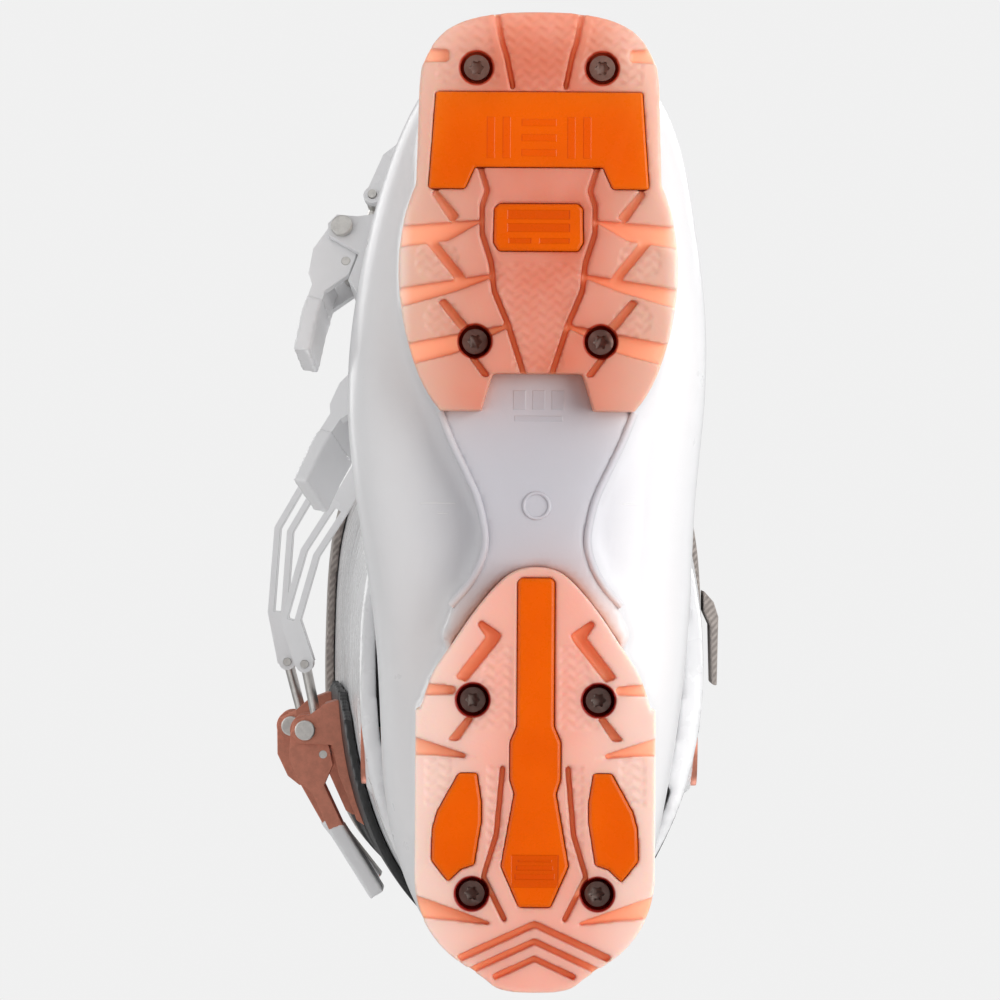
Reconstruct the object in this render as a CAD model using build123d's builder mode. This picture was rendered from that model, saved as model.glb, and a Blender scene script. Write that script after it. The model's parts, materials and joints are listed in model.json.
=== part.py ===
"""Right-foot alpine ski boot: overlap lower shell, hinged cuff, four over-centre buckles, screwed-on soles.

Frame: origin on the sole plane at the mid-sole mark, toe towards -Y, heel towards +Y, +Z up.
The wearer's outer side, which carries the buckle levers, is -X. Millimetres.
"""

import math
import os

from build123d import *

os.makedirs("parts", exist_ok=True)

# ---- driving dimensions ----
half_sole = 142.5  # half of the 285 mm boot sole length
lug_half_width = 34.9
toe_pad_top = 11.0
toe_lug_top = 19.0
heel_pad_top = 14.0
heel_lug_top = 30.0
arch_underside = 9.0
rocker_start = -60.0
rocker_radius = 567.0
tread_depth = 3.6
toe_tip_depth = 7.4
line_width = 1.6
insert_depth = 5.5
insert_chamfer = 0.6
screw_x = 18.25
toe_screw_rows = (-126.0, -46.4)
heel_screw_rows = (57.6, 113.8)
screw_recess_radius = 4.7
screw_head_radius = 3.7
screw_shank_radius = 2.4
screw_head_height = 3.6
socket_radius = 1.6
socket_lobe = 0.5
socket_depth = 2.0
thread_reach = 9.0
bush_radius = 4.0
bore_reach = 20.0  # how far each way a cross bore runs

shell_wall = 4.5
cuff_wall = 4.0
liner_gap = 1.5
liner_wall = 8.0
fit_gap = 0.15
running_gap = 0.06
lip_gap = 0.8

ankle_y = 75.0
ankle_z = 100.0
ankle_bore = 5.0
ring_turns = 24
smallest_section = 11.0
shank_top = 26.0
overlay_wall = 3.0
strap_gap = 0.3
strap_wall = 2.6
pivot_disc = 12.5
pivot_sink = 1.9
throat_half = 24.0
tongue_half = 22.5


# ---- shared shapes ----
def rounded(angle, low, high, power):
    """One coordinate of a superellipse that reaches low on one side and high on the other."""
    share = math.copysign(abs(math.cos(angle)) ** (2 / power), math.cos(angle))
    return share * (high if share > 0 else low)


def prism(outline, low, high, base=Plane.XY):
    """A closed polygon run from one height to another above its base plane."""
    with BuildPart() as body:
        with BuildSketch(base.offset(low)):
            with BuildLine():
                Polyline(*outline, close=True)
            make_face()
        extrude(amount=high - low)
    return body.part


def rod(base, x, y, radius, low, high):
    """A round bar standing on a plane."""
    with BuildPart() as body:
        with BuildSketch(base.offset(low)):
            with Locations((x, y)):
                Circle(radius)
        extrude(amount=high - low)
    return body.part


def across(outline):
    """A side outline (y, z) run right across the boot."""
    return prism(outline, -110, 110, Plane.YZ)


def mirrored(outline):
    """A plan outline on the +X side and its twin on the -X side."""
    return [outline, [(-x, y) for x, y in reversed(outline)]]


def symmetric(half):
    """A whole plan outline from its +X half."""
    return half + [(-x, y) for x, y in reversed(half)]


def strip(points, width):
    """The outline of a narrow band along a bent line."""
    left = []
    right = []
    for k, (x, y) in enumerate(points):
        x0, y0 = points[max(k - 1, 0)]
        x1, y1 = points[min(k + 1, len(points) - 1)]
        run = math.hypot(x1 - x0, y1 - y0)
        nx = (y0 - y1) / run * width / 2
        ny = (x1 - x0) / run * width / 2
        left.append((x + nx, y + ny))
        right.append((x - nx, y - ny))
    return left + right[::-1]


# ---- shell surfaces ----
foot_stations = [
    # y, outer half width, inner half width, underside, widest height, top
    (-138, 15, 15, 20, 31, 40),
    (-131, 26, 26, 17, 32, 51),
    (-120, 35.0, 35.5, 15, 34, 64),
    (-105, 42.4, 42.3, 15, 37, 76),
    (-85, 48.8, 46.4, 15, 40, 85),
    (-60, 54.0, 49.8, 16, 42, 95),
    (-30, 56.4, 50.2, 18, 44, 108),
    (0, 53.6, 47.6, 20, 46, 121),
    (30, 49.0, 46.4, 22, 50, 128),
    (60, 46.5, 44, 22, 55, 128),
    (90, 44.5, 39.5, 22, 58, 118),
    (115, 38, 34, 22, 58, 100),
    (132, 28, 27, 28, 58, 86),
    (140, 14, 14, 40, 58, 74),
]
ankle_stations = [
    # z, outer half width, inner half width, front, widest, rear, outer rear power, inner rear power
    (50, 44.5, 42, 8, 58, 135, 2.0, 1.8),
    (85, 47.6, 44.6, -5, 53, 134, 2.0, 1.8),
    (120, 49.4, 46.6, -13, 48, 132, 2.0, 1.8),
    (178, 51.5, 48.2, -20, 42, 128, 2.0, 1.8),
]
cuff_stations = [
    (50, 51.5, 50, 6, 58, 141, 2.0, 1.8),
    (100, 54.5, 52.5, -16, 52, 140, 2.1, 1.8),
    (150, 58, 53.4, -29, 46, 138, 2.4, 1.8),
    (200, 61.8, 53.8, -36, 42, 134, 2.7, 1.8),
    (250, 65.5, 54.6, -42, 40, 129, 3.3, 1.9),
    (320, 68, 56.5, -48, 38, 124, 3.3, 2.0),
]


def foot_form(grow=0.0, stations=foot_stations):
    """The foot part of the shell as a solid, grown outwards by grow."""
    with BuildPart() as foot:
        for y, outer, inner, low, wide, top in stations:
            if grow < 0 and outer + grow < smallest_section:
                continue
            with BuildSketch(Plane.XZ.offset(-y * (1 + grow / half_sole))):
                with BuildLine():
                    ring = []
                    for k in range(ring_turns):
                        turn = 2 * math.pi * k / ring_turns
                        power = 2.2 if math.sin(turn) > 0 else 2.7
                        x = rounded(turn, outer + grow, inner + grow, power)
                        z = wide + rounded(turn - math.pi / 2, wide - low + grow, top - wide + grow, power)
                        ring.append((x, z))
                    Spline(*ring, periodic=True)
                make_face()
        loft()
    return foot.part


def leg_form(stations, grow=0.0):
    """A standing form of egg-shaped level sections, grown outwards by grow."""
    with BuildPart() as leg:
        for z, outer, inner, front, widest, rear, outer_power, inner_power in stations:
            with BuildSketch(Plane.XY.offset(z)):
                with BuildLine():
                    ring = []
                    for k in range(ring_turns):
                        turn = 2 * math.pi * k / ring_turns
                        power = 2.3
                        if math.sin(turn) > 0:
                            power = inner_power if math.cos(turn) > 0 else outer_power
                        x = rounded(turn, outer + grow, inner + grow, power)
                        y = rounded(turn - math.pi / 2, widest - front + grow, rear - widest + grow, power)
                        ring.append((x, widest + y))
                    Spline(*ring, periodic=True)
                make_face()
        loft()
    return leg.part


foot_outer = foot_form()
foot_inner = foot_form(-shell_wall)
ankle_outer = leg_form(ankle_stations)
ankle_inner = leg_form(ankle_stations, -shell_wall)
cuff_outer = leg_form(cuff_stations)
cuff_inner = leg_form(cuff_stations, -cuff_wall)

# ---- side outlines, as (y, z) ----
shell_top = [(170, 94), (96, 110), (40, 156), (-60, 172), (-60, 400), (170, 400)]
shell_floor = [(-160, 24), (60, 30), (160, 33), (160, -20), (-160, -20)]
cuff_side = [
    (165, 96), (128, 91), (92, 76), (52, 81), (14, 112), (-8, 142), (-26, 152), (-60, 156),
    (-60, 288), (20, 294), (90, 302), (165, 298),
]
cuff_lip_side = [(86, 60), (86, 90), (38, 98), (38, 60)]
overlay_side = [
    (165, 118), (120, 118), (92, 130), (70, 150), (62, 176), (60, 222), (64, 252), (165, 254),
]
strap_side = [(-80, 258), (60, 266), (170, 256), (170, 290), (60, 300), (-80, 293)]
liner_foot_side = [
    (-160, 33.5), (60, 38.5), (160, 40.5), (160, 118), (96, 130), (40, 160), (-60, 168), (-160, 168),
]
liner_shaft_side = [(-80, 205), (40, 188), (96, 152), (170, 136), (170, 314), (60, 316), (-80, 302)]
tongue_side = [(-80, 208), (20, 198), (20, 330), (-30, 326), (-80, 320)]
board_side = [(-160, 24.2), (60, 30.2), (160, 33.2), (160, 39.6), (60, 37.6), (-60, 31.5), (-160, 28)]
footbed_side = [(-160, 42.5), (60, 47.5), (160, 49.5), (160, 53), (60, 51), (-160, 46)]


# ---- sole outlines ----
def toe_outline():
    """The toe pad's plan face: round tip, flared shoulders and a notched rear edge."""
    with BuildSketch() as face:
        with BuildLine():
            Spline((0, -half_sole), (17.5, -141.0), (28.3, -136.0), (33.6, -128.0), (lug_half_width, -119.0),
                   tangents=((1, 0), (0.05, 1)))
            Line((lug_half_width, -119.0), (35.6, -92.0))
            Spline((35.6, -92.0), (39.0, -82.0), (40.6, -68.0), (39.8, -56.0), (37.2, -44.0), (33.4, -34.0),
                   (28.2, -26.2))
            Polyline((28.2, -26.2), (16.3, -26.2), (13.0, -37.1), (0, -37.1))
            mirror(about=Plane.YZ)
        make_face()
    return face.sketch


def heel_outline():
    """The heel pad's plan face: a pointed arch in front, a round end behind."""
    with BuildSketch() as face:
        with BuildLine():
            Spline((0, 19.0), (7.0, 20.6), (12.9, 25.8), (19.4, 34.0), (25.9, 43.7), (30.9, 52.2),
                   (34.2, 61.0), (lug_half_width, 70.0), tangents=((1, 0), (0, 1)))
            Line((lug_half_width, 70.0), (lug_half_width, 108.0))
            Spline((lug_half_width, 108.0), (33.4, 118.5), (29.8, 125.6), (23.4, 132.4), (14.5, 138.4),
                   (0, half_sole), tangents=((0, 1), (-1, 0)))
            mirror(about=Plane.YZ)
        make_face()
    return face.sketch


arch_half = [
    (4, -37), (26, -40), (28.4, -26), (24.8, -17), (21, -9), (17.4, -1), (15.2, 6), (15, 12), (16, 17),
    (19.5, 24), (24, 29), (28, 40), (4, 60),
]
glide_half = [(30.0, -119.0), (32.0, -90.7), (21.4, -90.7), (18.6, -97.0)]
badge_half = [(11.4, -86.4), (12.9, -85.0), (13.1, -75.0), (11.6, -72.6)]
keel_half = [
    (4.6, 22.2), (5.4, 23.4), (5.4, 65.0), (7.4, 69.8), (7.4, 80.6), (6.1, 84.8), (9.8, 105.8), (4.6, 117.7),
]
wing_outline = [
    (16.9, 78.8), (22.2, 78.8), (28.4, 90.0), (29.8, 95.0), (30.0, 104.2), (25.2, 110.3), (21.4, 106.7),
    (17.6, 105.4), (15.6, 93.2), (15.6, 86.9),
]
toe_wedges = [
    [(41.5, -79.6), (41.5, -73.4), (26, -75.6), (15.4, -81.8)],
    [(42.0, -61.4), (42.0, -55.6), (24, -60.8), (8.4, -66.8)],
    [(40.5, -45.2), (40.5, -38.6), (24, -42.9), (5.6, -51.9)],
    [(31.6, -90.2), (29.4, -90.2), (22.6, -82.4), (25.6, -81.0)],
    [(32.6, -74.8), (29.6, -75.6), (21.0, -65.0), (23.6, -63.8)],
    [(29.4, -58.2), (26.8, -58.6), (19.8, -50.4), (22.4, -49.4)],
    [(20.6, -42.6), (18.0, -42.0), (13.4, -36.0), (15.8, -36.0)],
]
toe_tip_line = [(12.8, -144.0), (10.8, -133.5), (9.6, -129.9), (7.5, -119.6)]
toe_waist_line = [
    (17.1, -97.4), (14.9, -90.2), (16.4, -85.8), (16.4, -77.8), (13.6, -69.1), (12.8, -61.1), (8.8, -51.6),
    (4.0, -36.8),
]
toe_side_notch = [(37, -131.6), (37, -127.4), (26.2, -127.8), (26.2, -131.4)]
heel_wedges = [
    [(36.5, 68.0), (36.5, 73.6), (28, 73.8), (14.8, 75.1)],
    [(36.5, 113.6), (36.5, 120.6), (24, 121.6), (8.6, 123.6)],
    [(17.2, 35.6), (16.0, 34.4), (9.8, 38.6), (11.4, 41.4), (20.2, 52.4), (23.6, 51.2), (14.6, 39.4)],
    [(20.2, 62.6), (17.4, 62.2), (22.4, 69.6), (25.8, 69.6)],
    [(36.5, 52.6), (36.5, 56.6), (23.2, 56.0), (23.2, 53.6)],
]
heel_keel_line = [(9.4, 76.6), (11.2, 96.7), (14.9, 108.9), (8.4, 121.9)]
chevrons = [(122.6, 22.0, 2.1), (127.6, 19.0, 1.9), (132.6, 12.0, 1.8)]  # apex y, reach, width
chevron_slope = 0.46


def rocker_cut(proud=0.0):
    """What the toe's rocker takes off below the walking face."""

    def rise(y):
        return rocker_radius - math.sqrt(rocker_radius**2 - (y - rocker_start) ** 2) - proud

    tip = -half_sole - 6
    middle = (tip + rocker_start) / 2
    with BuildPart() as cut:
        with BuildSketch(Plane.YZ.offset(-60)):
            with BuildLine():
                ThreePointArc((rocker_start, rise(rocker_start)), (middle, rise(middle)), (tip, rise(tip)))
                Polyline((tip, rise(tip)), (tip, -8), (rocker_start, -8), (rocker_start, rise(rocker_start)))
            make_face()
        extrude(amount=120)
    return cut.part


def screw_bores(rows, seat):
    """Head recesses below the seat and shank holes above it."""
    bores = []
    for y in rows:
        for x in (-screw_x, screw_x):
            bores.append(rod(Plane.XY, x, y, screw_recess_radius, -2, seat))
            bores.append(rod(Plane.XY, x, y, screw_shank_radius + fit_gap, -2, heel_lug_top))
    return bores


def insert_pocket(outline, depth=insert_depth):
    """The room for an insert, a fit gap wider all round."""
    with BuildPart() as pocket:
        with BuildSketch(Plane.XY.offset(-2)):
            with BuildLine():
                Polyline(*outline, close=True)
            make_face()
            offset(amount=fit_gap, kind=Kind.INTERSECTION)
        extrude(amount=depth + 2)
    return pocket.part


toe_seat = 7.4
heel_seat = 6.0

# ---- soles ----
with BuildPart() as toe_sole:
    add(toe_outline())
    extrude(amount=toe_pad_top)
    add(rocker_cut(), mode=Mode.SUBTRACT)
    for outline in toe_wedges:
        for side in mirrored(outline):
            add(prism(side, -2, tread_depth), mode=Mode.SUBTRACT)
    for side in mirrored(strip(toe_tip_line, line_width)) + mirrored(toe_side_notch):
        add(prism(side, -2, toe_tip_depth), mode=Mode.SUBTRACT)
    for side in mirrored(strip(toe_waist_line, line_width)):
        add(prism(side, -2, tread_depth), mode=Mode.SUBTRACT)
    add(insert_pocket(symmetric(glide_half)), mode=Mode.SUBTRACT)
    add(insert_pocket(symmetric(badge_half)), mode=Mode.SUBTRACT)
    for bore in screw_bores(toe_screw_rows, toe_seat):
        add(bore, mode=Mode.SUBTRACT)

with BuildPart() as heel_sole:
    add(heel_outline())
    extrude(amount=heel_pad_top)
    for outline in heel_wedges + [strip(heel_keel_line, line_width)]:
        for side in mirrored(outline):
            add(prism(side, -2, tread_depth), mode=Mode.SUBTRACT)
    for apex, reach, width in chevrons:
        arms = [(-reach, apex + chevron_slope * reach), (0, apex), (reach, apex + chevron_slope * reach)]
        add(prism(strip(arms, width), -2, tread_depth), mode=Mode.SUBTRACT)
    for outline in [symmetric(keel_half)] + mirrored(wing_outline):
        add(insert_pocket(outline), mode=Mode.SUBTRACT)
    for bore in screw_bores(heel_screw_rows, heel_seat):
        add(bore, mode=Mode.SUBTRACT)

with BuildPart() as toe_glide_plate:
    with BuildSketch():
        with BuildLine():
            Polyline(*symmetric(glide_half), close=True)
        make_face()
    extrude(amount=insert_depth)
    add(rocker_cut(0.3), mode=Mode.SUBTRACT)

with BuildPart() as toe_badge:
    add(prism(symmetric(badge_half), 0.5, insert_depth))
    chamfer(toe_badge.faces().sort_by(Axis.Z)[0].edges(), insert_chamfer)

with BuildPart() as heel_keel_insert:
    add(prism(symmetric(keel_half), 0, insert_depth))
    chamfer(heel_keel_insert.faces().sort_by(Axis.Z)[0].edges(), insert_chamfer)

with BuildPart() as heel_wing_inserts:
    for outline in mirrored(wing_outline):
        add(prism(outline, 0, insert_depth))
    chamfer(heel_wing_inserts.faces().group_by(Axis.Z)[0].edges(), insert_chamfer)


def sole_screws(rows, seat, pad_top):
    """Four pan-head screws with a six-lobe socket, each through the pad into its bush."""
    with BuildPart() as screws:
        for y in rows:
            for x in (-screw_x, screw_x):
                head_low = seat - screw_head_height
                add(rod(Plane.XY, x, y, screw_head_radius, head_low, seat))
                add(rod(Plane.XY, x, y, screw_shank_radius, seat, pad_top + thread_reach - 1))
                with BuildSketch(Plane.XY.offset(head_low)):
                    with Locations((x, y)):
                        Circle(socket_radius)
                        with PolarLocations(socket_radius, 6):
                            Circle(socket_lobe)
                extrude(amount=socket_depth, mode=Mode.SUBTRACT)
    return screws.part


with BuildPart() as toe_sole_screws:
    add(sole_screws(toe_screw_rows, toe_seat, toe_pad_top))

with BuildPart() as heel_sole_screws:
    add(sole_screws(heel_screw_rows, heel_seat, heel_pad_top))

with BuildPart() as sole_screw_bushes:
    for rows, pad_top in ((toe_screw_rows, toe_pad_top), (heel_screw_rows, heel_pad_top)):
        for y in rows:
            for x in (-screw_x, screw_x):
                add(rod(Plane.XY, x, y, bush_radius, pad_top, pad_top + thread_reach))
                add(rod(Plane.XY, x, y, screw_shank_radius + running_gap, pad_top, pad_top + thread_reach),
                    mode=Mode.SUBTRACT)

# ---- lower shell ----
with BuildPart() as sole_pads_room:
    add(toe_outline())
    extrude(amount=toe_pad_top)
    add(heel_outline())
    extrude(amount=heel_pad_top)

with BuildPart() as foot_room:
    add(foot_inner)
    add(ankle_inner)
    add(across(shell_floor), mode=Mode.SUBTRACT)

with BuildPart() as lower_shell:
    add(foot_outer)
    add(ankle_outer)
    add(across(shell_top), mode=Mode.SUBTRACT)
    with BuildSketch(Plane.XY.offset(toe_pad_top)):
        add(toe_outline())
    extrude(amount=toe_lug_top - toe_pad_top)
    with BuildSketch(Plane.XY.offset(heel_pad_top)):
        add(heel_outline())
    extrude(amount=heel_lug_top - heel_pad_top)
    add(prism(symmetric(arch_half), arch_underside, shank_top))
    add(foot_room.part, mode=Mode.SUBTRACT)
    add(sole_pads_room.part, mode=Mode.SUBTRACT)
    for rows, pad_top in ((toe_screw_rows, toe_pad_top), (heel_screw_rows, heel_pad_top)):
        for y in rows:
            for x in (-screw_x, screw_x):
                add(rod(Plane.XY, x, y, bush_radius, pad_top - 1, pad_top + thread_reach), mode=Mode.SUBTRACT)
    for side in (-1, 1):
        add(rod(Plane.YZ, ankle_y, ankle_z, ankle_bore + running_gap, *sorted((side * 20, side * 80))),
            mode=Mode.SUBTRACT)

# ---- cuff ----
ankle_pivots = {
    # side, bolt's inner end, boss's inner face, disc's seat
    "outer": (-1, 42.4, 49.2, 51.0),
    "inner": (1, 38.9, 46.4, 48.4),
}
with BuildPart() as cuff_lip:
    add(leg_form(cuff_stations, 0.5 - cuff_wall))
    add(leg_form(ankle_stations, lip_gap), mode=Mode.SUBTRACT)
    add(across(cuff_lip_side), mode=Mode.INTERSECT)
    add(across(cuff_side), mode=Mode.INTERSECT)

with BuildPart() as cuff_shell:
    add(cuff_outer)
    add(cuff_inner, mode=Mode.SUBTRACT)
    add(across(cuff_side), mode=Mode.INTERSECT)
    add(cuff_lip.part)
    for side, bolt_end, boss, seat in ankle_pivots.values():
        add(rod(Plane.YZ, ankle_y, ankle_z, pivot_disc + 1.6, *sorted((side * boss, side * (seat + 1)))))
        add(rod(Plane.YZ, ankle_y, ankle_z, pivot_disc + 0.4, *sorted((side * seat, side * 80))),
            mode=Mode.SUBTRACT)
        add(rod(Plane.YZ, ankle_y, ankle_z, ankle_bore + running_gap, *sorted((side * 20, side * 80))),
            mode=Mode.SUBTRACT)

overlay_inner = leg_form(cuff_stations, fit_gap)
overlay_outer = leg_form(cuff_stations, overlay_wall)
with BuildPart() as rear_overlay:
    add(overlay_outer)
    add(overlay_inner, mode=Mode.SUBTRACT)
    add(across(overlay_side), mode=Mode.INTERSECT)

with BuildPart() as power_strap:
    add(leg_form(cuff_stations, strap_gap + strap_wall))
    add(leg_form(cuff_stations, strap_gap), mode=Mode.SUBTRACT)
    add(across(strap_side), mode=Mode.INTERSECT)

# ---- liner, tongue, footbed and boot board ----
with BuildPart() as liner_foot:
    add(foot_form(-shell_wall - liner_gap))
    add(leg_form(ankle_stations, -shell_wall - liner_gap))
    add(across(liner_foot_side), mode=Mode.INTERSECT)
    add(foot_form(-shell_wall - liner_gap - liner_wall, foot_stations[2::2]), mode=Mode.SUBTRACT)
    add(leg_form(ankle_stations, -shell_wall - liner_gap - liner_wall), mode=Mode.SUBTRACT)

with BuildPart() as liner_shaft:
    add(leg_form(cuff_stations, -cuff_wall - liner_gap))
    add(across(liner_shaft_side), mode=Mode.INTERSECT)
    add(leg_form(cuff_stations, -cuff_wall - liner_gap - liner_wall), mode=Mode.SUBTRACT)
    add(prism([(-throat_half, 20), (-throat_half, -90), (throat_half, -90), (throat_half, 20)], 100, 400),
        mode=Mode.SUBTRACT)

with BuildPart() as liner_tongue:
    add(leg_form(cuff_stations, -cuff_wall - liner_gap))
    add(across(tongue_side), mode=Mode.INTERSECT)
    add(leg_form(cuff_stations, -cuff_wall - liner_gap - liner_wall - 2), mode=Mode.SUBTRACT)
    add(prism([(-tongue_half, 6), (-tongue_half, -90), (tongue_half, -90), (tongue_half, 6)], 100, 400),
        mode=Mode.INTERSECT)

with BuildPart() as boot_board:
    add(foot_form(-shell_wall - fit_gap))
    add(across(board_side), mode=Mode.INTERSECT)

with BuildPart() as footbed:
    add(foot_form(-shell_wall - liner_gap - liner_wall - 1, foot_stations[2::2]))
    add(across(footbed_side), mode=Mode.INTERSECT)

# ---- ankle pivots, overlay screws, strap end and pull loop ----
pivot_bolts = {}
for label, (side, bolt_end, boss, seat) in ankle_pivots.items():
    disc = seat + 0.1
    with BuildPart() as bolt:
        add(rod(Plane.YZ, ankle_y, ankle_z, ankle_bore, *sorted((side * bolt_end, side * disc))))
        add(rod(Plane.YZ, ankle_y, ankle_z, pivot_disc, *sorted((side * disc, side * (disc + pivot_sink)))))
        add(rod(Plane.YZ, ankle_y, ankle_z, 3.2, *sorted((side * (disc + 0.9), side * (disc + 6)))),
            mode=Mode.SUBTRACT)
    pivot_bolts[label] = bolt

with BuildPart() as overlay_screws:
    for z, rear in ((150, 138.0), (205, 133.9)):
        add(rod(Plane.XZ, 0, z, 4.2, -rear - overlay_wall - 2.9, -rear - overlay_wall - 0.7))

strap_end_outline = [(58.9, 30), (62.4, 34), (64.0, 39), (63.6, 62.5), (61.8, 62), (61.2, 42), (58.9, 37)]
with BuildPart() as strap_end:
    add(prism(strap_end_outline, 264, 291))

with BuildPart() as pull_loop:
    with BuildSketch(Plane.XZ.offset(-121.4)):
        with Locations((0, 317)):
            RectangleRounded(24, 26, 5)
            RectangleRounded(19, 17, 3, mode=Mode.SUBTRACT)
    extrude(amount=0.8, both=True)

# ---- buckles ----
cheek_low = 8.3
cheek_high = 10.8
lever_half = 7.9
lever_wall_inside = 5.6
lever_plate = 4.6
hub_radius = 5.0
hinge_radius = 1.9
hinge_head = 3.3
link_radius = 1.3
eye_radius = 2.5
eye_half = 5.0
link_bar = 1.7
arm_inside = 5.4
arm_half = 8.0
arm_thick = {"root": 4.4, "cuff": 6.4}
arm_slot = 2.4
bar_radius = 1.3
lever_eye = (9.0, -4.0)  # below the hinge, so that the bail's pull keeps the lever shut
base_top = -7.8
tooth_first = 0.4
tooth_pitch = 5.0
tooth_height = 2.6
tooth_count = 4
rack_height = 3.6
rack_half = 5.0
hooked_at = (8.0, 7.0)
lever_wall = [
    (-3, 4), (0, 5), (8, 7), (16, 5.5), (20, 2.5), (20, -1.5), (13, -6.4), (7, -6.4), (0, -5), (-3, -4),
]


def facing(hinge, lever_way, outwards):
    """A buckle's own plane: x along the closed lever, y out of the shell, z along its hinge."""
    along = Vector(*lever_way).normalized()
    out = Vector(*outwards)
    out = (out - along * out.dot(along)).normalized()
    return Plane(origin=hinge, x_dir=along, z_dir=along.cross(out))


def base_outline(reach, hub=()):
    """A base's side outline: its foot runs back to reach, and hub points rise round the hinge."""
    return [
        (-9, -30), (-7, base_top), *hub, (16, base_top), (reach, -10.5), (reach + 2, -12.5),
        (reach + 0.5, -16), (18, -30),
    ]


cheek_hub = [(-4.8, -3), (-3.6, 3.2), (0, 4.8), (3.6, 3.2), (6.5, base_top)]
buckles = {
    # hinge, lever direction, outward direction, lever line, yoke distance, bail line, rack start,
    # rack direction, what it sits on, how far back its foot reaches
    "toe": (
        (-57, -77.6, 60.6), (-13, 34.4, -13), (-0.93, -0.27, 0.25), [(15, 1), (28, 0.5), (40, -1.5)],
        -14.0, [(-27, -4.5)], (-30, -14.3), (-0.835, -0.55), "root", 18,
    ),
    "instep": (
        (-47.8, -36.2, 96.6), (-22, 34, -16), (-0.75, -0.25, 0.6), [(15, 1), (30, 0.5), (44, -2)],
        -15.0, [(-28, -7.5)], (-30, -19.9), (-0.781, -0.625), "root", 18,
    ),
    "lower_cuff": (
        (-73.5, 74.7, 190), (0.208, 0.978, 0), (-0.978, 0.208, 0), [(15, 1), (34, -3.5), (57, -12)],
        -21.0, [(-36, -2.5), (-56, -13), (-68, -24.8)], (-72, -37.1), (-0.695, -0.719), "cuff", 32,
    ),
    "upper_cuff": (
        (-80, 75.5, 240), (0.26, 0.966, 0), (-0.966, 0.26, 0), [(15, 1), (34, -4), (57, -14)],
        -21.0, [(-38, -5), (-64, -14), (-80, -30)], (-74, -45.7), (-0.687, -0.727), "cuff", 32,
    ),
}
root_form = foot_outer + ankle_outer
buckle_pieces = {}
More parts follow.
